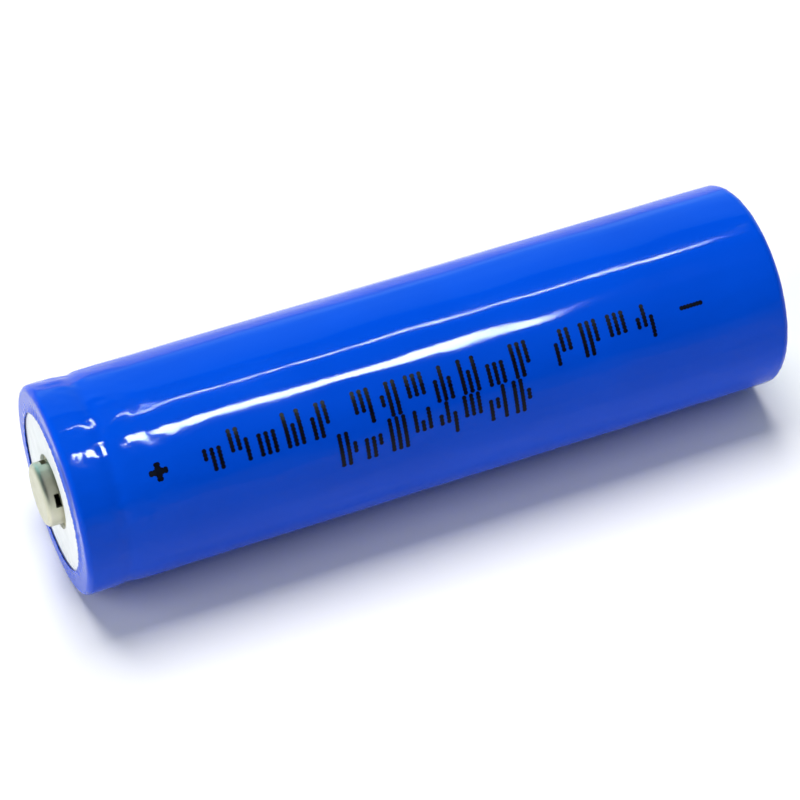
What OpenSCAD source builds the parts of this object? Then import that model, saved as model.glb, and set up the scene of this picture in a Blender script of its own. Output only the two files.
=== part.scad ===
// Cylindrical lithium-ion cell with a button top.
//
// Each module is drawn standing on its negative end, with the cell's axis on Z and z = 0 at the
// outside of the can's floor. lay_down() then puts the cell on its side: the button faces -X, the
// negative end faces +X, and the cell rests on z = 0 along a line whose middle is the origin.

/* [Can] */
// Outside diameter of the steel can
can_d = 18.35; // [16:0.05:24]
// Height of the can from its floor to the top of the crimp
can_h = 64.5; // [50:0.5:85]
// Thickness of the can's sheet
can_wall = 0.25; // [0.2:0.01:0.35]
// Outside radius of the corner round the floor
can_corner_r = 0.7; // [0.5:0.05:1]
// Outside radius where the mouth is crimped over
crimp_r = 1.1; // [0.9:0.05:1.4]
// Reach of the crimped lip, inwards from the can's side
crimp_reach = 1.9; // [1.7:0.05:2.2]
// Depth of the rolled bead under the cap
bead_depth = 1.15; // [0.9:0.05:1.4]
// Height of the rolled bead
bead_h = 1.9; // [1.6:0.05:2.3]
// Diameter of the stamped ring round the contact on the floor
floor_ring_d = 13.2; // [11:0.1:13.3]

/* [Sleeve] */
// Thickness of the heat-shrunk film
film_t = 0.1; // [0.08:0.01:0.15]
// Air left between the film and what it wraps
film_gap = 0.02; // [0.01:0.005:0.05]
// Width of the film that is folded over each end
film_fold = 2.35; // [1.8:0.05:2.5]
// Depth of the film's sag over the bead
film_sag = 0.22; // [0:0.01:0.28]
// Mean radius of the film's shoulder at the button end
film_shoulder_r = 1.2; // [0.9:0.05:1.4]

/* [Washer] */
// Thickness of the paper washer round the button
washer_t = 0.3; // [0.2:0.05:0.5]
// Bore of the washer
washer_bore_d = 6.6; // [6.4:0.1:8.2]

/* [Cap] */
// Diameter of the button
button_d = 5.6; // [4.6:0.1:6.6]
// Height of the button over the end of the sleeve
button_rise = 1.2; // [0.8:0.1:2]
// Thickness of the cap's sheet
cap_t = 0.4; // [0.3:0.05:0.5]
// Width of each gas window in the button's wall
window_w = 1.2; // [0.8:0.1:2]
// Height of each gas window
window_h = 0.5; // [0.3:0.05:0.7]
// Number of gas windows
window_count = 4; // [3:1:5]
// Angle that the first gas window is turned to
window_turn = 30; // [0:5:90]

/* [Cap stack] */
// Thickness of the gasket's wall and flanges
gasket_t = 0.48; // [0.35:0.01:0.6]
// Thickness of the resettable fuse ring
ptc_t = 0.4; // [0.3:0.05:0.6]
// Bore of the resettable fuse ring
ptc_bore_d = 9; // [7:0.1:11]
// Thickness of the burst disc
vent_t = 0.3; // [0.2:0.05:0.4]
// Depth of the burst disc's dish
vent_dish = 0.4; // [0.3:0.05:0.6]
// Depth of the burst disc's welded centre, under its rim
vent_drop = 0.85; // [0.75:0.05:1.1]
// Thickness of the contact disc under the burst disc
contact_t = 0.35; // [0.25:0.05:0.45]
// Room between the gasket and the ring round the contact disc
contact_gap = 0.45; // [0.2:0.05:1.5]
// Number of gas holes in the contact disc
contact_holes = 6; // [3:1:8]

/* [Winding] */
// Diameter left open at the middle of the winding
core_d = 4; // [3.6:0.1:6]
// Thickness of each separator
separator_t = 0.03; // [0.02:0.01:0.05]
// Thickness of the coating on one side of an electrode
coat_t = 0.08; // [0.06:0.01:0.12]
// Thickness of the aluminium foil in the cathode
cathode_foil_t = 0.03; // [0.02:0.01:0.05]
// Thickness of the copper foil in the anode
anode_foil_t = 0.02; // [0.02:0.01:0.05]
// Room left between the winding's tape and the can
winding_gap = 0.15; // [0.1:0.01:0.3]
// Thickness of the tape that holds the winding closed
tape_t = 0.05; // [0.03:0.01:0.08]
// Angle that the winding's tape goes round
tape_angle = 270; // [120:10:330]
// How far the separators stand past the anode at each end
separator_margin = 0.5; // [0.4:0.1:1]
// How far the anode stands past the cathode at each end
anode_margin = 0.5; // [0.3:0.1:1]
// Room round the split pin in the core
pin_gap = 0.4; // [0.3:0.05:0.8]
// Thickness of the pin's sheet
pin_wall = 0.2; // [0.15:0.05:0.3]
// Width of the pin's slit
pin_slit = 0.5; // [0.3:0.1:1]

/* [Tabs and insulators] */
// Width of the tabs
tab_w = 3.5; // [2.5:0.1:4.5]
// Thickness of the negative tab
negative_tab_t = 0.1; // [0.06:0.01:0.14]
// Length of each tab along the foil that it is welded to
tab_weld = 45; // [20:1:50]
// Mean radius of the positive tab's folds
tab_fold_r = 0.45; // [0.3:0.05:0.5]
// Thickness of the two insulating discs
insulator_t = 0.3; // [0.2:0.05:0.5]
// Diameter of the hole in the middle of each insulating disc
insulator_bore_d = 3; // [2:0.1:3.6]
// Room round each insulating disc
insulator_gap = 0.3; // [0.2:0.05:0.5]

/* [Hidden] */
$fn = 96;
fit = 0.02;               // clearance between pieces that are pressed or laid together
bend_step = 15;           // degrees of each facet in a bend
far = 100;                // longer than anything that is cut

can_r = can_d / 2;
can_mid_r = can_r - can_wall / 2;
can_bore_r = can_r - can_wall;
lip_r = can_r - crimp_reach;

// The cap stack, from the crimped lip down
gasket_top = can_h - can_wall - fit;
stack_top = gasket_top - gasket_t;
ptc_top = stack_top - cap_t;
vent_top = ptc_top - ptc_t;
stack_bottom = vent_top - vent_t;
gasket_bottom = stack_bottom - gasket_t;
shelf_top = gasket_bottom - fit;
bead_bottom = shelf_top - bead_h;
bead_slope = 0.5;
bead_bend_r = 0.4;

gasket_r = can_bore_r - fit;
gasket_show = 0.2;        // gasket seen inside the crimped lip
gasket_bore_r = lip_r - gasket_show;
stack_r = gasket_r - gasket_t - fit;
gasket_foot_r = 0.5;

vent_mid = vent_top - vent_t / 2;
contact_top = vent_mid - vent_drop - vent_t / 2;
contact_bottom = contact_top - contact_t;
cid_ring_t = 0.3;         // wall of the ring round the contact disc
contact_r = gasket_bore_r - contact_gap - cid_ring_t - fit;
cid_seat = 0.4;           // width of the contact disc's rim that the ring rests on

// Film and washer
film_r = can_r + film_gap + film_t;
film_mid_r = film_r - film_t / 2;
film_low = -film_gap - film_t;
washer_r = film_mid_r - film_shoulder_r - film_t / 2;
film_high = can_h + washer_t + film_gap + film_t;

// Cap
button_r = button_d / 2;
button_top = film_high + button_rise;
button_foot_r = 0.25;     // fillet on the outside of the button's foot
button_edge_r = 0.45;     // round on the outside of the button's edge
plateau_top = can_h - fit;
plateau_slope = 0.45;

// Floor of the can, and what lies on it
tab_run_bottom = can_wall + fit;
lower_insulator_bottom = tab_run_bottom + negative_tab_t + fit;
roll_bottom = lower_insulator_bottom + insulator_t + fit;
bead_room = 0.2;          // room between the bead and the upper insulator
upper_insulator_top = bead_bottom - bead_room;
roll_top = upper_insulator_top - insulator_t - fit;
insulator_r = can_bore_r - insulator_gap;

// Winding: half turns about two centres, a quarter pitch to each side of the axis
anode_t = anode_foil_t + 2 * coat_t;
cathode_t = cathode_foil_t + 2 * coat_t;
pitch = 2 * separator_t + anode_t + cathode_t;
half_pitch = pitch / 2;
core_r = core_d / 2;
pin_r = core_r - pin_gap;
roll_r = can_bore_r - winding_gap - tape_t - fit;
last_half = floor((roll_r - core_r - pitch / 4 - separator_t) / half_pitch);
anode_last = even_floor(last_half - 1);
cathode_last = anode_last - 2;
tab_half = even_floor(cathode_last / 2);

inner_separator_at = 0;
anode_at = separator_t;
outer_separator_at = anode_at + anode_t;
cathode_at = outer_separator_at + separator_t;

anode_bottom = roll_bottom + separator_margin;
anode_top = roll_top - separator_margin;
cathode_bottom = anode_bottom + anode_margin;
cathode_top = anode_top - anode_margin;

positive_tab_t = coat_t;
positive_tab_r = winding_r(tab_half, cathode_at + coat_t + cathode_foil_t);
negative_tab_r = winding_r(anode_last, anode_at + coat_t + anode_foil_t);
tab_room = 0.5;           // clearance on each side of a tab in its slot
tab_reach = 3;            // how far each tab runs past the axis

// ---------------------------------------------------------------- helpers

function even_floor(n) = 2 * floor(n / 2);
function reversed(list) = [for (i = [len(list) - 1:-1:0]) list[i]];
function xy(p) = [p[0], p[1]];
function unit(v) = v / norm(v);
function left_of(v) = [-v[1], v[0]];
function direction(a) = [cos(a), sin(a)];

// Points of an arc of radius r about c, from angle a to angle b
function arc(c, r, a, b) =
    let (n = max(1, ceil(abs(b - a) / bend_step)))
    [for (i = [0:n]) c + r * direction(a + (b - a) * i / n)];

// One bend of mean radius r at b, on the line that is off to the left of the path a-b-c
function bend(a, b, c, r, off) =
    let (u = unit(b - a),
         w = unit(c - b),
         side = sign(u[0] * w[1] - u[1] * w[0]),
         turn = acos(u * w),
         centre = b - u * r * tan(turn / 2) + left_of(u) * side * r,
         out = -side * left_of(u),
         start = atan2(out[1], out[0]))
    arc(centre, r - side * off, start, start + side * turn);

// One side of a bent sheet, whose path is a list of [x, y, mean bend radius]
function sheet_side(path, off) =
    let (n = len(path) - 1,
         first = unit(xy(path[1]) - xy(path[0])),
         last = unit(xy(path[n]) - xy(path[n - 1])))
    concat(
        [xy(path[0]) + left_of(first) * off],
        [for (i = [1:n - 1])
            each bend(xy(path[i - 1]), xy(path[i]), xy(path[i + 1]), path[i][2], off)],
        [xy(path[n]) + left_of(last) * off]);

// Outline of a sheet of thickness t that follows a path
module sheet(path, t) {
    polygon(concat(sheet_side(path, t / 2), reversed(sheet_side(path, -t / 2))));
}

// Flat ring between two heights
module ring(bore_r, outer_r, low, high) {
    translate([0, 0, low])
        difference() {
            cylinder(r = outer_r, h = high - low);
            translate([0, 0, -1]) cylinder(r = bore_r, h = high - low + 2);
        }
}

// Radius of the winding at a given half turn, at a given depth into its pitch
function winding_r(half, at) = core_r + half * half_pitch + at;

// Even half turns lie at +X and odd ones at -X, each about its own centre
module half_ring(half, at, t) {
    side = half % 2 == 0 ? 1 : -1;
    r = winding_r(half, at);
    intersection() {
        translate([0, side * pitch / 4])
            difference() {
                circle(r = r + t);
                circle(r = r);
            }
        translate([side > 0 ? 0 : -far, -far / 2]) square([far, far]);
    }
}

// One wound layer, from its first to its last half turn
module winding(first, last, at, t, low, high) {
    translate([0, 0, low])
        linear_extrude(high - low)
            for (half = [first:last]) half_ring(half, at, t);
}

// Strip of width w that lies on an even half turn, where it crosses the X axis
module curved_strip(r, t, w, low, high) {
    translate([0, 0, low])
        linear_extrude(high - low)
            intersection() {
                translate([0, pitch / 4])
                    difference() {
                        circle(r = r + t);
                        circle(r = r);
                    }
                translate([0, -w / 2]) square([far, w]);
            }
}

// Strip of width w, bent along a path in the XZ plane
module bent_strip(path, t, w) {
    rotate([90, 0, 0])
        linear_extrude(w, center = true)
            sheet(path, t);
}

module lay_down() {
    translate([(button_top + film_low) / 2, 0, film_r])
        rotate([0, -90, 0])
            children();
}

// ---------------------------------------------------------------- outside

module shrink_sleeve() {
    sag_shift = 0.05;
    sag_top = shelf_top - sag_shift;
    sag_bottom = bead_bottom - sag_shift;
    sag_bend_r = 3;
    fold_r = film_r - film_fold;
    foot = film_low + film_t / 2;
    head = film_high - film_t / 2;
    color("royalblue")
        rotate_extrude()
            sheet([
                [fold_r, foot],
                [film_mid_r, foot, can_corner_r + film_gap + film_t / 2],
                if (film_sag > 0) [film_mid_r, sag_bottom, sag_bend_r],
                if (film_sag > 0) [film_mid_r - film_sag, (sag_bottom + sag_top) / 2, sag_bend_r],
                if (film_sag > 0) [film_mid_r, sag_top, sag_bend_r],
                [film_mid_r, head, film_shoulder_r],
                [fold_r, head]
            ], film_t);
}

module insulating_washer() {
    color("white")
        ring(washer_bore_d / 2, washer_r, can_h, can_h + washer_t);
}

module steel_can() {
    ring_w = 0.3;
    ring_deep = 0.06;
    color("silver")
        rotate_extrude()
            difference() {
                sheet([
                    [0, can_wall / 2],
                    [can_mid_r, can_wall / 2, can_corner_r - can_wall / 2],
                    [can_mid_r, bead_bottom, bead_bend_r],
                    [can_mid_r - bead_depth, bead_bottom + bead_slope, bead_bend_r],
                    [can_mid_r - bead_depth, shelf_top - can_wall / 2, can_wall],
                    [can_mid_r, shelf_top - can_wall / 2, can_wall],
                    [can_mid_r, can_h - can_wall / 2, crimp_r - can_wall / 2],
                    [lip_r, can_h - can_wall / 2]
                ], can_wall);
                translate([floor_ring_d / 2, -1]) square([ring_w, 1 + ring_deep]);
            }
}

// ---------------------------------------------------------------- cap stack

module positive_cap() {
    path_r = button_r - cap_t / 2;
    plateau = plateau_top - cap_t / 2;
    flange = stack_top - cap_t / 2;
    slope_room = 0.3;
    slope_r = gasket_bore_r - slope_room;
    color("lightgray")
        difference() {
            rotate_extrude()
                sheet([
                    [0, button_top - cap_t / 2],
                    [path_r, button_top - cap_t / 2, button_edge_r - cap_t / 2],
                    [path_r, plateau, button_foot_r + cap_t / 2],
                    [slope_r - plateau_slope, plateau, cap_t],
                    [slope_r, flange, cap_t],
                    [stack_r, flange]
                ], cap_t);
            for (i = [0:window_count - 1])
                rotate([0, 0, window_turn + i * 360 / window_count])
                    translate([button_r - 2 * cap_t, -window_w / 2, can_h + washer_t])
                        cube([3 * cap_t, window_w, window_h]);
        }
}

module gasket() {
    crimp_room = 0.05;
    head_r = crimp_r - can_wall + crimp_room;
    bore = stack_r + fit;
    color("black")
        rotate_extrude()
            polygon(concat(
                [[gasket_bore_r, gasket_bottom]],
                arc([gasket_r - gasket_foot_r, gasket_bottom + gasket_foot_r], gasket_foot_r, -90, 0),
                arc([gasket_r - head_r, gasket_top - head_r], head_r, 0, 90),
                [[gasket_bore_r, gasket_top], [gasket_bore_r, stack_top], [bore, stack_top],
                 [bore, stack_bottom], [gasket_bore_r, stack_bottom]]));
}

module ptc_ring() {
    color("dimgray")
        ring(ptc_bore_d / 2, stack_r, vent_top, ptc_top);
}

module vent_disc() {
    weld_r = 1.2;
    weld_slope = 0.7;
    dish_slope = 0.6;
    dish_room = 0.3;
    dish_r = contact_r - cid_seat - dish_room;
    score_r = 3.4;
    score_w = 0.2;
    color("gainsboro")
        rotate_extrude()
            difference() {
                sheet([
                    [0, vent_mid - vent_drop],
                    [weld_r, vent_mid - vent_drop, vent_t],
                    [weld_r + weld_slope, vent_mid - vent_dish, vent_t],
                    [dish_r - dish_slope, vent_mid - vent_dish, vent_t],
                    [dish_r, vent_mid, vent_t],
                    [stack_r, vent_mid]
                ], vent_t);
                translate([score_r, vent_top - vent_dish - vent_t / 2]) square([score_w, vent_t]);
            }
}

module cid_insulator() {
    ring_r = contact_r + fit + cid_ring_t;
    color("white")
        difference() {
            ring(contact_r - cid_seat, ring_r, contact_bottom, stack_bottom);
            translate([0, 0, contact_bottom - 1])
                cylinder(r = contact_r + fit, h = contact_t + 1);
        }
}

module contact_disc() {
    hole_r = 0.6;
    holes_at = contact_r * 0.65;
    color("gainsboro")
        difference() {
            translate([0, 0, contact_bottom]) cylinder(r = contact_r, h = contact_t);
            for (i = [0:contact_holes - 1])
                rotate([0, 0, (i + 0.5) * 360 / contact_holes])
                    translate([holes_at, 0, contact_bottom - 1])
                        cylinder(r = hole_r, h = contact_t + 2);
        }
}

// ---------------------------------------------------------------- tabs and insulators

module positive_tab() {
    run = upper_insulator_top + fit + positive_tab_t / 2;
    landing = contact_bottom - positive_tab_t / 2;
    outer_r = positive_tab_r + positive_tab_t;
    color("gainsboro") {
        curved_strip(positive_tab_r, positive_tab_t, tab_w,
                     cathode_top - tab_weld, run + positive_tab_t / 2);
        intersection() {
            bent_strip([
                [outer_r + 1, run],
                [-tab_reach, run, tab_fold_r],
                [-tab_reach, landing, tab_fold_r],
                [tab_reach / 2, landing]
            ], positive_tab_t, tab_w);
            translate([0, pitch / 4, run - 1]) cylinder(r = outer_r, h = 6);
        }
    }
}

module positive_tab_tape() {
    tape = min(tape_t, coat_t);
    color("goldenrod")
        curved_strip(positive_tab_r - tape, tape, tab_w + tab_room, cathode_top + fit, roll_top);
}

module insulating_disc(low) {
    translate([0, 0, low])
        difference() {
            cylinder(r = insulator_r, h = insulator_t);
            translate([0, 0, -1]) cylinder(d = insulator_bore_d, h = insulator_t + 2);
        }
}

// Slot that lets a curved tab through an insulating disc, out to a given radius
module tab_slot(tab_r, tab_t, outer_r, low) {
    slot_w = tab_w + 2 * tab_room;
    inner_x = sqrt(pow(tab_r, 2) - pow(slot_w / 2 + pitch / 4, 2)) - tab_room / 2;
    translate([inner_x, -slot_w / 2, low - 1])
        cube([outer_r - inner_x, slot_w, insulator_t + 2]);
}

module upper_insulator() {
    low = roll_top + fit;
    gas_hole_r = 1.2;
    holes_at = insulator_r * 0.62;
    color("whitesmoke")
        difference() {
            insulating_disc(low);
            tab_slot(positive_tab_r, positive_tab_t, positive_tab_r + positive_tab_t + tab_room / 2, low);
            for (a = [90, 180, 270])
                rotate([0, 0, a])
                    translate([holes_at, 0, low - 1])
                        cylinder(r = gas_hole_r, h = insulator_t + 2);
        }
}

module lower_insulator() {
    color("whitesmoke")
        difference() {
            insulating_disc(lower_insulator_bottom);
            tab_slot(negative_tab_r, negative_tab_t, can_r, lower_insulator_bottom);
        }
}

module negative_tab() {
    outer_r = negative_tab_r + negative_tab_t;
    color("silver") {
        curved_strip(negative_tab_r, negative_tab_t, tab_w, tab_run_bottom, anode_bottom + tab_weld);
        intersection() {
            translate([-tab_reach, -tab_w / 2, tab_run_bottom])
                cube([tab_reach + outer_r + 1, tab_w, negative_tab_t]);
            translate([0, pitch / 4, 0]) cylinder(r = outer_r, h = 2);
        }
    }
}

module negative_tab_tape() {
    color("goldenrod")
        curved_strip(negative_tab_r + negative_tab_t, tape_t, tab_w + tab_room,
                     anode_bottom + 1, anode_bottom + tab_weld + 2);
}

// ---------------------------------------------------------------- winding

module cathode_foil() {
    color("lightgray")
        winding(2, cathode_last, cathode_at + coat_t, cathode_foil_t, cathode_bottom, cathode_top);
}

// The outer coat is left bare where the positive tab is welded on
module cathode_coating() {
    margin = separator_t / 3;
    color("darkslategray") {
        winding(3, cathode_last, cathode_at, coat_t, cathode_bottom, cathode_top);
        difference() {
            winding(3, cathode_last, cathode_at + coat_t + cathode_foil_t, coat_t,
                    cathode_bottom, cathode_top);
            curved_strip(positive_tab_r - margin, coat_t + 2 * margin, tab_w + tab_room,
                         cathode_bottom - 1, cathode_top + 1);
        }
    }
}

// The last half turn is left bare for the negative tab
module anode_foil() {
    color("peru")
        winding(1, anode_last, anode_at + coat_t, anode_foil_t, anode_bottom, anode_top);
}

module anode_coating() {
    color("dimgray")
        for (at = [anode_at, anode_at + coat_t + anode_foil_t])
            winding(2, anode_last - 1, at, coat_t, anode_bottom, anode_top);
}

module separator_inner() {
    color("ivory")
        winding(0, last_half, inner_separator_at, separator_t, roll_bottom, roll_top);
}

module separator_outer() {
    color("ivory")
        winding(0, anode_last - 1, outer_separator_at, separator_t, roll_bottom, roll_top);
}

module winding_tape() {
    tape_r = winding_r(last_half, separator_t) + pitch / 4 + fit;
    end_room = 3;
    color("yellowgreen")
        translate([0, 0, roll_bottom + end_room])
            rotate_extrude(angle = tape_angle)
                translate([tape_r, 0]) square([tape_t, roll_top - roll_bottom - 2 * end_room]);
}

module centre_pin() {
    color("silver")
        difference() {
            ring(pin_r - pin_wall, pin_r, anode_bottom, anode_top);
            translate([0, -pin_slit / 2, anode_bottom - 1])
                cube([2 * pin_r, pin_slit, anode_top - anode_bottom + 2]);
        }
}

// ---------------------------------------------------------------- assembly

lay_down() shrink_sleeve();
lay_down() insulating_washer();
lay_down() steel_can();
lay_down() positive_cap();
lay_down() gasket();
lay_down() ptc_ring();
lay_down() vent_disc();
lay_down() cid_insulator();
lay_down() contact_disc();
lay_down() positive_tab();
lay_down() positive_tab_tape();
lay_down() upper_insulator();
lay_down() cathode_foil();
lay_down() cathode_coating();
lay_down() anode_foil();
lay_down() anode_coating();
lay_down() separator_inner();
lay_down() separator_outer();
lay_down() winding_tape();
lay_down() centre_pin();
lay_down() lower_insulator();
lay_down() negative_tab();
lay_down() negative_tab_tape();
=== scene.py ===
# %% [markdown]
# A cylindrical battery cell, lying on its side
#
# The real object is a steel can with a wound foil roll inside, closed by a cap with a raised
# button, and dressed in a heat-shrunk film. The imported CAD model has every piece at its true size.
# This lesson loads it as a fixed frame, and then makes what CAD leaves plain: the film with its
# ripples and puckers, the ink printed on it, and a finish for each metal, plastic and foil.

# %% Load the frame
import math

import bmesh
import bpy
from mathutils import Matrix, Vector, noise


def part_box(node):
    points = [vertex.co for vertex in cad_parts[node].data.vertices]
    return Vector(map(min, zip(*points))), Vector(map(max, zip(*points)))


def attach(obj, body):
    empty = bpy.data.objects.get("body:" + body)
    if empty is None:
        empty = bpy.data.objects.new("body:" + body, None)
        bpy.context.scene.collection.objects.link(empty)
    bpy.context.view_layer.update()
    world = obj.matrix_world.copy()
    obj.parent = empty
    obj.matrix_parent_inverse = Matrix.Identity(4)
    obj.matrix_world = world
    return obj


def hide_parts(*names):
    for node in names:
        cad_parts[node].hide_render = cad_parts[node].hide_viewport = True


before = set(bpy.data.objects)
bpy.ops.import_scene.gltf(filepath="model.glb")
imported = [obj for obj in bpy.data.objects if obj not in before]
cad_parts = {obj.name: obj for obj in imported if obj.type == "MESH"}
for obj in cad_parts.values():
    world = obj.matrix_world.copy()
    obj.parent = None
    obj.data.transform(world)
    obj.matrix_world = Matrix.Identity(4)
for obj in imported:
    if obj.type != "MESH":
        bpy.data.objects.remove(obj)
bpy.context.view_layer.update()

# %% [markdown]
# Blender works in metres, and a cell is easier to read in millimetres, so MM turns one into the
# other. The film's place comes from the sleeve's own box in the frame: the cell's axis runs along
# X, the button faces -X, and the film touches the floor at z = 0.

# %% Read the places from the frame
MM = 0.001
sleeve_low, sleeve_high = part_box("shrink_sleeve")

film_r = (sleeve_high.z - sleeve_low.z) / 2
axis_z = (sleeve_high.z + sleeve_low.z) / 2
head_x, foot_x = sleeve_low.x, sleeve_high.x
print(f"film radius {film_r / MM:.3f} mm, from x = {head_x / MM:.2f} to {foot_x / MM:.2f} mm")

# %% [markdown]
# Outlines and turning
#
# The film is a turned shape: one outline goes round the axis. The outline is a list of corners
# (x, radius, bend radius). `rounded` cuts each corner to an arc. A vertex bevel could
# round them too, but then all corners would share one offset.

# %% Round the corners of an outline
def rounded(corners, step=math.radians(9)):
    points = []
    for i, (x, r, bend) in enumerate(corners):
        corner = Vector((x, r))
        if bend == 0:
            points.append(corner)
            continue
        before = (Vector(corners[i - 1][:2]) - corner).normalized()
        after = (Vector(corners[i + 1][:2]) - corner).normalized()
        half = before.angle(after) / 2
        centre = corner + (before + after).normalized() * bend / math.sin(half)
        first = corner + before * bend / math.tan(half) - centre
        last = corner + after * bend / math.tan(half) - centre
        turn = first.angle_signed(last)
        count = max(2, math.ceil(abs(turn) / step))
        for k in range(count + 1):
            points.append(centre + first.lerp(last, k / count).normalized() * bend)
    return points

# %% [markdown]
# `turned` draws the outline as a chain of edges above the axis, splits its long edges so that the
# surface can ripple, and spins it a full turn. The spin's last row falls on its first, so the two
# are merged before the normals are worked out.

# %% Turn an outline round the axis
def turned(points, steps, longest=None):
    mesh = bmesh.new()
    chain = [mesh.verts.new((p.x, 0, axis_z + p.y)) for p in points]
    for a, b in zip(chain, chain[1:]):
        mesh.edges.new((a, b))
    if longest:
        for edge in list(mesh.edges):
            cuts = math.ceil(edge.calc_length() / longest(edge.verts[0].co.x)) - 1
            if cuts > 0:
                bmesh.ops.subdivide_edges(mesh, edges=[edge], cuts=cuts)
    bmesh.ops.spin(mesh, geom=mesh.verts[:] + mesh.edges[:], cent=(0, 0, axis_z), axis=(1, 0, 0),
                   angle=2 * math.pi, steps=steps, use_merge=True)
    bmesh.ops.remove_doubles(mesh, verts=mesh.verts[:], dist=1e-6)
    bmesh.ops.recalc_face_normals(mesh, faces=mesh.faces[:])
    return mesh

# %% [markdown]
# A finished piece becomes an object at the origin, shaded smooth, riding on the one body of this
# part.

# %% Turn a mesh into a piece
def piece(name, mesh, material, slot_name=None, *instead_of):
    data = bpy.data.meshes.new(name)
    mesh.to_mesh(data)
    mesh.free()
    data.shade_smooth()
    obj = bpy.data.objects.new(name, data)
    bpy.context.collection.objects.link(obj)
    data.materials.append(material)
    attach(obj, "root")
    if instead_of:
        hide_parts(*instead_of)
    print(f"{name}: {len(data.polygons)} faces")
    return obj

# %% [markdown]
# Shader groups
#
# Effects that several finishes share are node groups: a slow drift of colour and gloss
# (`patches`), thin scratches that run every way (`scratches`), a fine unevenness that bends the
# light (`fine relief`), and circles round the axis (`drawn rings`). Each reads Object coordinates
# in metres. `new_group` makes an empty group with its sockets, and `node` adds one node, sets its
# values and links its inputs.

# %% Start a shader group
def new_group(name, inputs, outputs):
    group = bpy.data.node_groups.new(name, "ShaderNodeTree")
    for label, default in inputs:
        socket = group.interface.new_socket(label, in_out="INPUT", socket_type="NodeSocketFloat")
        socket.default_value = default
    for label in outputs:
        group.interface.new_socket(label, in_out="OUTPUT", socket_type="NodeSocketFloat")
    enter = group.nodes.new("NodeGroupInput")
    leave = group.nodes.new("NodeGroupOutput")
    print("group:", name)
    return group, enter, leave


def node(tree, kind, values=None, links=None, **settings):
    made = tree.nodes.new(kind)
    for key, value in settings.items():
        setattr(made, key, value)
    for key, value in (values or {}).items():
        made.inputs[key].default_value = value
    for key, source in (links or {}).items():
        tree.links.new(source, made.inputs[key])
    return made

# %% [markdown]
# `patches` is a soft noise stretched between two values. It keeps a big surface from looking like
# one flat colour, and its size is given in pieces per metre.

# %% The patches group
patches, enter, leave = new_group(
    "patches", [("Size", 150.0), ("Detail", 3.0), ("Low", 0.0), ("High", 1.0)], ["Mask"])
place = node(patches, "ShaderNodeTexCoord")
clouds = node(patches, "ShaderNodeTexNoise", links={
    "Vector": place.outputs["Object"], "Scale": enter.outputs["Size"],
    "Detail": enter.outputs["Detail"]})
spread = node(patches, "ShaderNodeMapRange", {"From Min": 0.3, "From Max": 0.7}, {
    "Value": clouds.outputs["Fac"], "To Min": enter.outputs["Low"],
    "To Max": enter.outputs["High"]})
patches.links.new(spread.outputs["Result"], leave.inputs["Mask"])

# %% [markdown]
# `scratches` crosses three families of thin lines. Each family is a noise that is turned and then
# stretched sixtyfold along one direction. Only its highest crests count.

# %% The scratches group
SCRATCH_TURNS = ((0.0, 0.2, 0.5), (0.3, 1.4, 0.2), (0.2, 0.3, 1.4))     # radians round X, Y, Z
SCRATCH_STRETCH = 60.0
CREST_LOW, CREST_HIGH = 0.66, 0.72
scratches, enter, leave = new_group("scratches", [("Size", 900.0), ("Amount", 0.6)], ["Mask"])
place = node(scratches, "ShaderNodeTexCoord")
families = []
for turn in SCRATCH_TURNS:
    turned_place = node(scratches, "ShaderNodeMapping", {
        "Rotation": turn, "Scale": (SCRATCH_STRETCH, 1.0, 1.0)},
        {"Vector": place.outputs["Object"]}, vector_type="TEXTURE")
    lines = node(scratches, "ShaderNodeTexNoise", {"Detail": 2.0}, {
        "Vector": turned_place.outputs["Vector"], "Scale": enter.outputs["Size"]})
    crest = node(scratches, "ShaderNodeMapRange", {"From Min": CREST_LOW, "From Max": CREST_HIGH},
                 {"Value": lines.outputs["Fac"]})
    families.append(crest.outputs["Result"])
pair = node(scratches, "ShaderNodeMath", links={0: families[0], 1: families[1]},
            operation="MAXIMUM")
every = node(scratches, "ShaderNodeMath", links={0: pair.outputs[0], 1: families[2]},
             operation="MAXIMUM")
scaled = node(scratches, "ShaderNodeMath", links={
    0: every.outputs[0], 1: enter.outputs["Amount"]}, operation="MULTIPLY")
scratches.links.new(scaled.outputs[0], leave.inputs["Mask"])

# %% [markdown]
# `fine relief` adds a coarse and a fine noise to one height. Squeeze shortens the X coordinate of
# the coarse one, which draws its bumps out into ridges along X. A Bump node in the material turns
# the height into a normal.

# %% The fine relief group
relief_group, enter, leave = new_group(
    "fine relief", [("Coarse", 900.0), ("Fine", 5000.0), ("Share", 0.35), ("Squeeze", 1.0)],
    ["Height"])
place = node(relief_group, "ShaderNodeTexCoord")
squeeze = node(relief_group, "ShaderNodeCombineXYZ", {"Y": 1.0, "Z": 1.0},
               {"X": enter.outputs["Squeeze"]})
drawn_out = node(relief_group, "ShaderNodeVectorMath", links={
    0: place.outputs["Object"], 1: squeeze.outputs["Vector"]}, operation="MULTIPLY")
coarse = node(relief_group, "ShaderNodeTexNoise", {"Detail": 2.0}, {
    "Vector": drawn_out.outputs["Vector"], "Scale": enter.outputs["Coarse"]})
fine = node(relief_group, "ShaderNodeTexNoise", {"Detail": 4.0}, {
    "Vector": place.outputs["Object"], "Scale": enter.outputs["Fine"]})
both = node(relief_group, "ShaderNodeMix", links={
    "Factor": enter.outputs["Share"], "A": coarse.outputs["Fac"], "B": fine.outputs["Fac"]},
    data_type="FLOAT")
relief_group.links.new(both.outputs["Result"], leave.inputs["Height"])

# %% [markdown]
# `drawn rings` is a noise that changes only with the distance from the cell's axis. It gives the
# faint circles that the press leaves on the end of a deep-drawn can.

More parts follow.
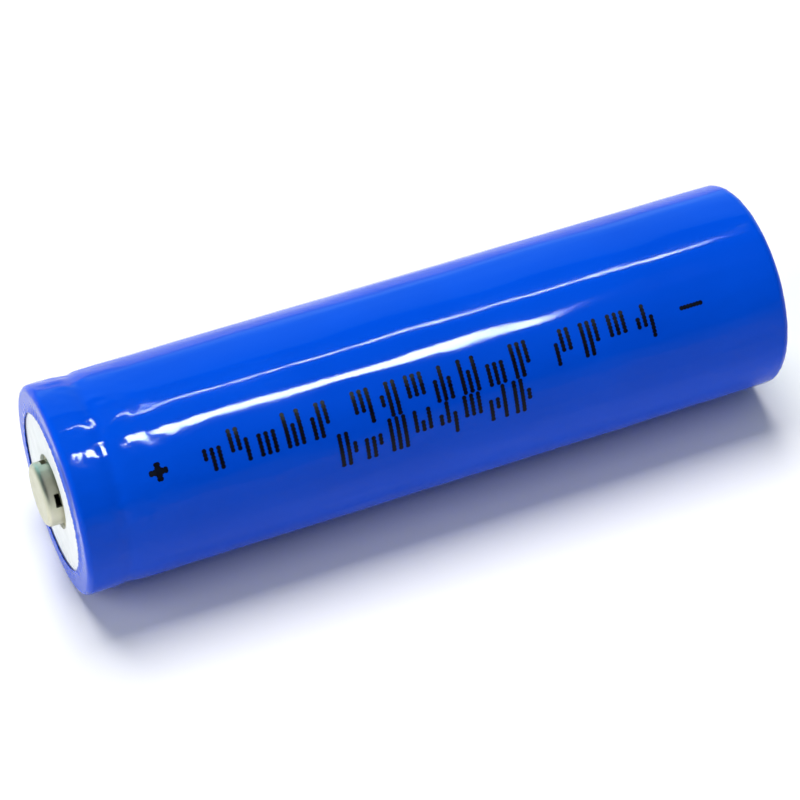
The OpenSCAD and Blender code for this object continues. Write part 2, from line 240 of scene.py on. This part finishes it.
# %% The drawn rings group
rings_group, enter, leave = new_group("drawn rings", [("Size", 1800.0)], ["Height"])
place = node(rings_group, "ShaderNodeTexCoord")
from_axis = node(rings_group, "ShaderNodeVectorMath", {1: (0, 0, axis_z)},
                 {0: place.outputs["Object"]}, operation="SUBTRACT")
across_axis = node(rings_group, "ShaderNodeVectorMath", {1: (0, 1, 1)},
                   {0: from_axis.outputs["Vector"]}, operation="MULTIPLY")
radius = node(rings_group, "ShaderNodeVectorMath", links={0: across_axis.outputs["Vector"]},
              operation="LENGTH")
circles = node(rings_group, "ShaderNodeTexNoise", {"Detail": 3.0}, {
    "W": radius.outputs["Value"], "Scale": enter.outputs["Size"]}, noise_dimensions="1D")
rings_group.links.new(circles.outputs["Fac"], leave.inputs["Height"])

# %% [markdown]
# `finish` starts a material: one Principled shader with its constants set on its own sockets, a
# colour that drifts between two tones, a roughness that drifts between two values, and a bump. The
# gloss drifts in smaller patches than the colour does. Bump heights are in millimetres.

# %% Start a material
GLOSS_PATCH = 2.3           # times smaller than the colour's patches


def finish(name, tones, gloss, metallic=0.0, patch=150.0, bump=0.1, coarse=900.0, fine=5000.0,
           share=0.35, squeeze=1.0, scratch=0.0, rings=0.0, **constants):
    material = bpy.data.materials.new(name)
    material.use_nodes = True
    tree = material.node_tree
    shader = tree.nodes["Principled BSDF"]
    shader.inputs["Metallic"].default_value = metallic
    for key, value in constants.items():
        shader.inputs[key.replace("_", " ")].default_value = value
    drift = node(tree, "ShaderNodeGroup", node_tree=patches)
    drift.inputs["Size"].default_value = patch
    share_of_b = drift.outputs["Mask"]
    if rings:
        circles = node(tree, "ShaderNodeGroup", node_tree=rings_group)
        share_of_b = node(tree, "ShaderNodeMath", links={
            0: share_of_b, 1: circles.outputs["Height"]}, operation="MULTIPLY").outputs[0]
    colour = node(tree, "ShaderNodeMix", {"A": (*tones[0], 1), "B": (*tones[1], 1)},
                  {"Factor": share_of_b}, data_type="RGBA")
    sheen = node(tree, "ShaderNodeGroup", node_tree=patches)
    sheen.inputs["Size"].default_value = patch * GLOSS_PATCH
    sheen.inputs["Low"].default_value, sheen.inputs["High"].default_value = gloss
    height = node(tree, "ShaderNodeGroup", node_tree=relief_group)
    height.inputs["Coarse"].default_value = coarse
    height.inputs["Fine"].default_value = fine
    height.inputs["Share"].default_value = share
    height.inputs["Squeeze"].default_value = squeeze
    lifted = node(tree, "ShaderNodeBump", {"Strength": 1.0, "Distance": bump * MM},
                  {"Height": height.outputs["Height"]})
    if rings:
        lifted = node(tree, "ShaderNodeBump", {"Strength": 1.0, "Distance": rings * MM},
                      {"Height": circles.outputs["Height"], "Normal": lifted.outputs["Normal"]})
    tree.links.new(colour.outputs["Result"], shader.inputs["Base Color"])
    tree.links.new(lifted.outputs["Normal"], shader.inputs["Normal"])
    rough = sheen.outputs["Mask"]
    if scratch:
        marks = node(tree, "ShaderNodeGroup", node_tree=scratches)
        marks.inputs["Amount"].default_value = scratch
        rough = node(tree, "ShaderNodeMath", links={0: rough, 1: marks.outputs["Mask"]},
                     operation="ADD", use_clamp=True).outputs[0]
    tree.links.new(rough, shader.inputs["Roughness"])
    print("finish:", name)
    return material

# %% [markdown]
# The film
#
# The sleeve is blue PVC tube that was shrunk in hot air. It clings to the can, sags a little over
# the rolled bead near the button, and folds over both ends. A flat outline would reflect a lamp as
# one ruler-straight line. The real film swells and sinks by a few hundredths of a millimetre,
# which breaks that line up, so the outline is turned first and each vertex is then lowered by
# `film_drop`.

# %% The film's colour and gloss
film_blue = finish(
    "film blue", [(0.0004, 0.060, 0.57), (0.0006, 0.072, 0.65)], (0.05, 0.09),
    patch=60, bump=0.0095, coarse=1150, fine=5200, share=0.22, squeeze=0.20,
    Specular_IOR_Level=0.10)

# %% Where the film lies
film_t = 0.06 * MM          # thinner than the CAD film, so its ripples clear the can
fold_w = 2.35 * MM          # film folded over each end
shoulder_r = 0.55 * MM      # outside bend at the button end
corner_r = 0.82 * MM        # outside bend at the negative end
waist_at = 3.77 * MM        # middle of the sag, from the button end
waist_half = 0.62 * MM
waist_deep = 0.17 * MM
rough_end = 12 * MM         # the puckers die out, and the mesh gets coarser, this far along
lip_rise = 0.14 * MM        # how far the cut edge curls off the washer
lip_w = 0.5 * MM            # width of the curled edge
lip_r = 0.9 * MM            # bend at the curl's root
ease = 0.03 * MM            # keeps the ripples inside the film's CAD box
side_r = film_r - ease      # radius of the film's outline along its side


def film_outline():
    return rounded([
        (head_x - lip_rise + ease, film_r - fold_w, 0),
        (head_x + ease, film_r - fold_w + lip_w, lip_r),
        (head_x + ease, side_r, shoulder_r),
        (head_x + rough_end, side_r, 0),
        (foot_x - ease, side_r, corner_r),
        (foot_x - ease, film_r - fold_w, 0)])


print("film outline:", len(film_outline()), "points")

# %% [markdown]
# `film_drop` gives how far the film lies under its outline at one place. It adds a long swell,
# ripples, narrow stretch marks, the puckers gathered round the waist, and two crease lines left
# from the flat-rolled tube. Each comes from `wobble`, a noise with a bump length along the cell, a
# number that sets how many bumps go round, and a seed. `noise.noise` is a fixed function of its
# place, so the film is the same on every run.

# %% The ripples of the film
swell_deep = 0.012 * MM
ripple_deep = 0.026 * MM
stretch_deep = 0.020 * MM
rest_deep = 0.014 * MM      # keeps ripples and stretch marks under the outline
pucker_deep = 0.055 * MM
pucker_reach = 4.5 * MM     # on each side of the waist
foot_reach = 2.2 * MM       # puckers at the negative end, and their share
foot_share = 0.6
hollow_deep = 0.03 * MM     # shallow hollow that leads into the waist
hollow_half = 1.6 * MM
crease_high = 0.010 * MM
crease_half = 0.25 * MM
crease_at = 1.35            # radians from the top; the other crease is opposite
drop_room = 0.055 * MM      # the deepest drop that keeps the film off the can


def wobble(along, angle, along_size, turns, seed):
    return noise.noise(Vector((along / along_size, turns * math.cos(angle) + seed,
                               turns * math.sin(angle) - seed)))


def bell(distance, half):
    return math.exp(-(distance / half) ** 2)


def film_drop(x, angle):
    along = x - head_x
    swell = 0.5 + wobble(along, angle, 7.5 * MM, 1.1, 4.0)
    ripple = wobble(along, angle, 5.5 * MM, 4.6, 9.0)
    stretch = wobble(along, angle, 8.0 * MM, 8.0, 13.0)
    pucker = 0.4 + wobble(along, angle, 0.75 * MM, 11.0, 2.0)
    near = bell(along - waist_at, pucker_reach) + foot_share * bell(x - foot_x, foot_reach)
    waist = waist_deep * bell(along - waist_at, waist_half)
    drop = (swell_deep * swell + rest_deep + ripple_deep * ripple + stretch_deep * stretch
            + pucker_deep * near * pucker + waist * (0.8 + 0.4 * pucker)
            + hollow_deep * bell(along - waist_at, hollow_half))
    for crease in (crease_at, crease_at + math.pi):
        off = math.remainder(angle - crease, 2 * math.pi) * film_r
        drop -= crease_high * bell(off, crease_half)
    return min(max(drop, 0.0), drop_room + waist)


print(f"drop at the top of the waist: {film_drop(head_x + waist_at, 0) / MM:.3f} mm")

# %% [markdown]
# On the folded ends the film gathers into radial folds instead, which push it inwards. Between the
# side and the fold, round the bend, the drop fades out.

# %% The gathers on the folded ends
gather_deep = 0.20 * MM
gather_max = 0.05 * MM
gather_from = film_r - 0.9 * MM
fade_from = film_r - 1.6 * MM
fade_over = 1.2 * MM


def gather(radius, angle):
    inward = max(0.0, gather_from - radius) / fold_w
    fold = gather_deep * inward * wobble(radius, angle, 9 * MM, 17, 7.0)
    return min(abs(fold), gather_max)


def side_share(radius):
    return min(1.0, max(0.0, (radius - fade_from) / fade_over))

# %% [markdown]
# The outline is cut into short steps where the puckers are, and into longer ones beyond. A Solidify
# modifier then gives the film its wall.

# %% Turn the film
fine_step, long_step = 0.35 * MM, 0.8 * MM
steps_round = 320


def film_step(x):
    return fine_step if x < head_x + 0.9 * rough_end else long_step


film_mesh = turned(film_outline(), steps_round, film_step)
for vert in film_mesh.verts:
    radial = Vector((0, vert.co.y, vert.co.z - axis_z))
    angle = math.atan2(-radial.y, radial.z)
    radius = radial.length
    inwards = 1 if vert.co.x < 0 else -1
    drop = film_drop(vert.co.x, angle) * side_share(radius)
    vert.co -= radial.normalized() * drop
    vert.co.x += inwards * gather(radius, angle)
film = piece("film_sleeve", film_mesh, film_blue, "sleeve_film", "shrink_sleeve")
wall = film.modifiers.new("wall", "SOLIDIFY")
wall.thickness = film_t
wall.offset = -1

# %% [markdown]
# The printing
#
# An ink-jet head prints the film while the tube runs past it, so every mark is made of round dots
# in a row. The two polarity signs keep their form. Where a maker prints words, this cell carries
# plain bar marks instead: bars of four kinds, in groups of the same length and height as a line of
# type. Each dot is a flat disc, bent onto the film by the same functions as the film itself.

# %% Ink
ink_black = finish(
    "ink black", [(0.0008, 0.0008, 0.004), (0.0020, 0.0020, 0.008)], (0.25, 0.4),
    patch=900, bump=0.002, coarse=2500, fine=9000, Specular_IOR_Level=0.12)

# %% Bend flat ink onto the film
ink_lift = 0.012 * MM
dot_d = 0.42 * MM
dot_pitch = 0.30 * MM
smear_size, smear_share = 0.4 * MM, 0.12    # a slight stretch that changes from dot to dot


def on_film(flat):
    """flat is (distance along the axis, distance round the film, height)."""
    angle = flat.y / film_r
    radius = side_r - film_drop(flat.x, angle) + flat.z
    return Vector((flat.x, -radius * math.sin(angle), axis_z + radius * math.cos(angle)))


def ink(name, dots):
    mesh = bmesh.new()
    for x, across in dots:
        made = bmesh.ops.create_circle(mesh, cap_ends=True, radius=dot_d / 2, segments=10,
                                       matrix=Matrix.Translation((x, across, ink_lift)))
        smear = noise.noise(Vector((x, across, 0)) / smear_size) * smear_share
        bmesh.ops.scale(mesh, vec=(1 + smear, 1 - smear, 1), verts=made["verts"],
                        space=Matrix.Translation((-x, -across, -ink_lift)))
    for vert in mesh.verts:
        vert.co = on_film(vert.co)
    bmesh.ops.recalc_face_normals(mesh, faces=mesh.faces[:])
    return piece(name, mesh, ink_black)


def dot_row(start, end):
    count = max(1, round((Vector(end) - Vector(start)).length / dot_pitch))
    return [tuple(Vector(start).lerp(Vector(end), k / count)) for k in range(count + 1)]

# %% [markdown]
# The line of marks runs along the cell, a little over half way from its top to the side that faces
# the reader. A mark's place is its distance from the cell's middle and its distance round the film
# from the top.

# %% Print the polarity signs
mark_line = math.radians(48) * film_r
plus_x, minus_x = -24.5 * MM, 24.2 * MM
plus_arm, minus_arm = 0.62 * MM, 0.9 * MM
plus_half = 0.07 * MM        # a stroke of the plus has two rows of dots, this far from its middle
minus_line = mark_line - 0.4 * MM

plus_dots = []
for off in (-plus_half, plus_half):
    plus_dots += dot_row((plus_x - plus_arm, mark_line + off), (plus_x + plus_arm, mark_line + off))
    plus_dots += dot_row((plus_x + off, mark_line - plus_arm), (plus_x + off, mark_line + plus_arm))
ink("print_plus", plus_dots)
ink("print_minus", dot_row((minus_x - minus_arm, minus_line), (minus_x + minus_arm, minus_line)))

# %% [markdown]
# A bar mark is three upright bars. A bar's kind gives its two ends as shares of the line's height,
# and a fixed sum of the mark's and the bar's numbers picks the kind, so the marks spell nothing.

# %% Print the bar marks
glyph_h = 2.7 * MM
cell_w = 1.25 * MM           # three bars, middle to middle of the outer ones
BAR_KINDS = [(-0.5, 0.5), (-0.5, 0.1), (-0.1, 0.5), (-0.12, 0.12)]


def bar_marks(name, start, end, cells, across, seed):
    """start and end are the outer edges of the first and the last mark."""
    dots = []
    pitch = (end - start - cell_w - dot_d) / (cells - 1)
    for cell in range(cells):
        left = start + dot_d / 2 + cell * pitch
        for bar in range(3):
            mixed = (cell * 5 + bar * 3 + seed + cell * cell * bar) % 7
            low, high = BAR_KINDS[mixed % len(BAR_KINDS)]
            x = left + bar * cell_w / 2
            dots += dot_row((x, across + low * glyph_h), (x, across + high * glyph_h))
    return ink(name, dots)


first_line, second_line = mark_line - 0.2 * MM, mark_line + 2.9 * MM
bar_marks("print_group_1", -20.6 * MM, -9.4 * MM, 5, first_line, 3)
bar_marks("print_group_2", -7.2 * MM, 8.9 * MM, 7, first_line, 5)
bar_marks("print_group_3", 11.2 * MM, 20.6 * MM, 4, first_line, 2)
bar_marks("print_group_4", -9.2 * MM, 8.4 * MM, 8, second_line, 4)

# %% [markdown]
# The washer and the metal
#
# The washer is white fibre paper, so its finish is matt with a fine felt of fibres. The cap and the
# can are nickel-plated steel: a warm grey with faint cloudy patches and hair scratches. The cap's
# CAD mesh already has its wall, its foot and its gas windows, so it only takes a finish.

# %% Finishes for the outside
washer_white = finish(
    "washer paper", [(0.80, 0.80, 0.79), (0.88, 0.88, 0.87)], (0.75, 0.9),
    patch=700, bump=0.02, coarse=2600, fine=9000, share=0.6)
nickel = finish(
    "nickel plate", [(0.68, 0.66, 0.50), (0.76, 0.74, 0.58)], (0.46, 0.58), metallic=1.0,
    patch=420, bump=0.0002, coarse=1500, fine=7000, scratch=0.08)
drawn_nickel = finish(
    "drawn nickel", [(0.46, 0.46, 0.41), (0.64, 0.64, 0.57)], (0.18, 0.28), metallic=1.0,
    patch=330, bump=0.0008, coarse=1200, fine=7000, scratch=0.12, rings=0.018)

# %% [markdown]
# The inside
#
# Nobody sees the winding of a sealed cell, but the part can be opened to show it, so each hidden
# piece gets its own finish: bare aluminium and copper foil, black cathode and graphite coatings,
# milky separator film, amber tape and so on.

# %% Finishes for the inside
inside = {
    "nickel strip": finish("nickel strip", [(0.60, 0.58, 0.54), (0.70, 0.68, 0.63)], (0.25, 0.4),
                           metallic=1.0, patch=500, bump=0.003, scratch=0.3),
    "aluminium": finish("aluminium sheet", [(0.78, 0.79, 0.80), (0.86, 0.87, 0.88)], (0.28, 0.42),
                        metallic=1.0, patch=380, bump=0.003, scratch=0.25),
    "copper": finish("copper foil", [(0.78, 0.36, 0.20), (0.88, 0.47, 0.28)], (0.22, 0.38),
                     metallic=1.0, patch=500, bump=0.002, scratch=0.15),
    "cathode": finish("cathode coat", [(0.022, 0.022, 0.024), (0.040, 0.040, 0.044)], (0.7, 0.9),
                      patch=900, bump=0.006, coarse=4000, fine=16000, share=0.6),
    "graphite": finish("graphite coat", [(0.035, 0.036, 0.040), (0.060, 0.062, 0.068)],
                       (0.45, 0.65), patch=900, bump=0.005, coarse=4000, fine=16000, share=0.6),
    "separator": finish("separator film", [(0.84, 0.85, 0.84), (0.91, 0.91, 0.90)], (0.35, 0.5),
                        patch=300, bump=0.002, coarse=1800, fine=8000),
    "gasket": finish("gasket plastic", [(0.016, 0.016, 0.018), (0.030, 0.030, 0.033)], (0.4, 0.55),
                     patch=400, bump=0.004, coarse=1500, fine=8000),
    "fuse": finish("fuse polymer", [(0.040, 0.040, 0.042), (0.070, 0.070, 0.074)], (0.6, 0.8),
                   patch=700, bump=0.006, coarse=2500, fine=12000),
    "white plastic": finish("white plastic", [(0.76, 0.76, 0.73), (0.85, 0.85, 0.82)], (0.5, 0.65),
                            patch=300, bump=0.004, coarse=1400, fine=7000),
    "amber tape": finish("amber tape", [(0.50, 0.20, 0.02), (0.62, 0.28, 0.04)], (0.2, 0.32),
                         patch=500, bump=0.003, coarse=1200, fine=6000),
    "green tape": finish("green tape", [(0.10, 0.34, 0.08), (0.15, 0.42, 0.12)], (0.25, 0.38),
                         patch=300, bump=0.003, coarse=1200, fine=6000),
}

# %% Give each CAD node its finish
node_finish = {
    "shrink_sleeve": film_blue, "insulating_washer": washer_white, "steel_can": drawn_nickel,
    "positive_cap": nickel, "gasket": inside["gasket"], "ptc_ring": inside["fuse"],
    "vent_disc": inside["aluminium"], "cid_insulator": inside["white plastic"],
    "contact_disc": inside["aluminium"], "positive_tab": inside["aluminium"],
    "positive_tab_tape": inside["amber tape"], "upper_insulator": inside["white plastic"],
    "cathode_foil": inside["aluminium"], "cathode_coating": inside["cathode"],
    "anode_foil": inside["copper"], "anode_coating": inside["graphite"],
    "separator_inner": inside["separator"], "separator_outer": inside["separator"],
    "winding_tape": inside["green tape"], "centre_pin": inside["nickel strip"],
    "lower_insulator": inside["white plastic"], "negative_tab": inside["nickel strip"],
    "negative_tab_tape": inside["amber tape"]}
for name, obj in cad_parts.items():
    for place in obj.material_slots:
        place.material = node_finish[name]
print("nodes with a finish:", len(node_finish))

# %% [markdown]
# The room
#
# The cell lies on a pale table. Its light comes from two kinds of lamp, told apart by `mirrored`.
# Three are only seen mirrored: two narrow strips overhead, one a little behind the cell and one in
# front, draw the two bright lines along the glossy film, and an azure panel far behind lightens its
# upper edge. Three soft lamps light the surfaces and cast the shadow, but are never mirrored.

# %% The table
floor_half = 1.2             # metres from the middle to each edge
floor_mesh = bmesh.new()
bmesh.ops.create_grid(floor_mesh, x_segments=1, y_segments=1, size=floor_half)
floor_data = bpy.data.meshes.new("floor")
floor_mesh.to_mesh(floor_data)
floor_mesh.free()
floor = bpy.data.objects.new("floor", floor_data)
bpy.context.collection.objects.link(floor)
floor_white = finish("floor white", [(0.86, 0.86, 0.88), (0.88, 0.88, 0.90)], (0.55, 0.6),
                     patch=20, bump=0.0, Specular_IOR_Level=0.0)
floor_data.materials.append(floor_white)

# %% [markdown]
# The sky is pale round the horizon and dark in a wide cap overhead. The cap leans to the front, so
# the glossy film mirrors darkness over most of its front, and mirrors the low sky along its upper
# edge. Its strength is one dot product of the direction with the cap's axis. A glow is added just
# over the horizon, where a view from the side sees it behind the table.

# %% The sky
cap_lean, cap_edge, cap_soft = math.radians(24), math.radians(64), math.radians(5)
cap_strength, low_strength = 0.02, 0.30
glow_low, glow_high = math.sin(math.radians(7)), math.sin(math.radians(14))
glow_strength = 0.62
sky = bpy.data.worlds.new("sky")
bpy.context.scene.world = sky
sky.use_nodes = True
tree = sky.node_tree
direction = node(tree, "ShaderNodeTexCoord")
along_axis = node(tree, "ShaderNodeVectorMath", {1: (0, -math.sin(cap_lean), math.cos(cap_lean))},
                  {0: direction.outputs["Generated"]}, operation="DOT_PRODUCT")
ring = node(tree, "ShaderNodeMapRange", {
    "From Min": math.cos(cap_edge - cap_soft), "From Max": math.cos(cap_edge + cap_soft),
    "To Min": cap_strength, "To Max": low_strength}, {"Value": along_axis.outputs["Value"]})
height = node(tree, "ShaderNodeSeparateXYZ", links={"Vector": direction.outputs["Generated"]})
glow = node(tree, "ShaderNodeMapRange", {
    "From Min": glow_high, "From Max": glow_low, "To Min": 0.0, "To Max": glow_strength},
    {"Value": height.outputs["Z"]})
bright = node(tree, "ShaderNodeMath", links={0: ring.outputs["Result"], 1: glow.outputs["Result"]},
              operation="ADD")
sky_light = tree.nodes["Background"]
sky_light.inputs["Color"].default_value = (0.62, 0.88, 1.0, 1)
tree.links.new(bright.outputs[0], sky_light.inputs["Strength"])
print("sky nodes:", len(tree.nodes))

# %% [markdown]
# `lamp` makes a rectangular lamp that aims at the middle of the cell. Its long side stays parallel
# to the cell as far as its aim lets it, so that a strip is mirrored as a line along the film.

# %% The lamps
lamp_aim = Vector((0, 0, 9 * MM))


def lamp(name, place, size, power, mirrored=False, tint=(1, 1, 1)):
    data = bpy.data.lights.new(name, "AREA")
    data.shape = "RECTANGLE"
    data.size, data.size_y = size
    data.energy = power
    data.color = tint
    obj = bpy.data.objects.new(name, data)
    away = (Vector(place) - lamp_aim).normalized()
    side = (Vector((1, 0, 0)) - away * away.x).normalized()
    turn = Matrix((side, away.cross(side), away)).transposed()
    obj.matrix_world = Matrix.Translation(place) @ turn.to_4x4()
    obj.visible_camera = False
    obj.visible_glossy = mirrored
    obj.visible_diffuse = not mirrored
    bpy.context.collection.objects.link(obj)
    print("lamp:", name)


strip_tint, panel_tint = (0.8, 1.0, 1.0), (0.20, 0.80, 1.0)
lamp("strip_behind", (0.112, 0.108, 0.400), (0.140, 0.016), 0.70, mirrored=True, tint=strip_tint)
lamp("strip_front", (0.090, -0.110, 0.400), (0.101, 0.052), 2.42, mirrored=True, tint=strip_tint)
lamp("panel_behind", (0.34, 0.80, 0.45), (2.0, 0.85), 6.0, mirrored=True, tint=panel_tint)
lamp("soft_back", (-0.08, 0.66, 2.18), (1.3, 1.3), 55)
lamp("soft_front", (0.20, -1.00, 2.20), (1.6, 1.6), 7)
lamp("soft_left", (-1.40, -0.20, 0.80), (1.2, 1.2), 12)
bpy.context.scene.view_settings.view_transform = "Standard"

# %% [markdown]
# The camera
#
# It is a long lens from the front left, looking down about 46 degrees, which keeps the cell's sides
# nearly parallel. Its direction is worked out from two angles, and it is moved sideways a little so
# that the cell sits in the frame as it should.

# %% The camera
camera_azimuth, camera_elevation = math.radians(-22.93), math.radians(45.96)
camera_distance = 269.4 * MM
camera_lens = 139.7
aim_point = Vector((0.60 * MM, 0, axis_z))
shift_right, shift_up = -0.71 * MM, -1.40 * MM

back = Vector((math.sin(camera_azimuth) * math.cos(camera_elevation),
               -math.cos(camera_azimuth) * math.cos(camera_elevation),
               math.sin(camera_elevation)))
right = Vector((math.cos(camera_azimuth), math.sin(camera_azimuth), 0))
above = back.cross(right)
camera_data = bpy.data.cameras.new("camera")
camera_data.lens = camera_lens
camera_data.sensor_width = 36
camera_data.clip_start, camera_data.clip_end = 0.01, 20
camera = bpy.data.objects.new("camera", camera_data)
camera.location = aim_point + back * camera_distance + right * shift_right + above * shift_up
camera.rotation_euler = (-back).to_track_quat("-Z", "Y").to_euler()
bpy.context.collection.objects.link(camera)
bpy.context.scene.camera = camera
print("camera at", [round(v / MM, 1) for v in camera.location], "mm")
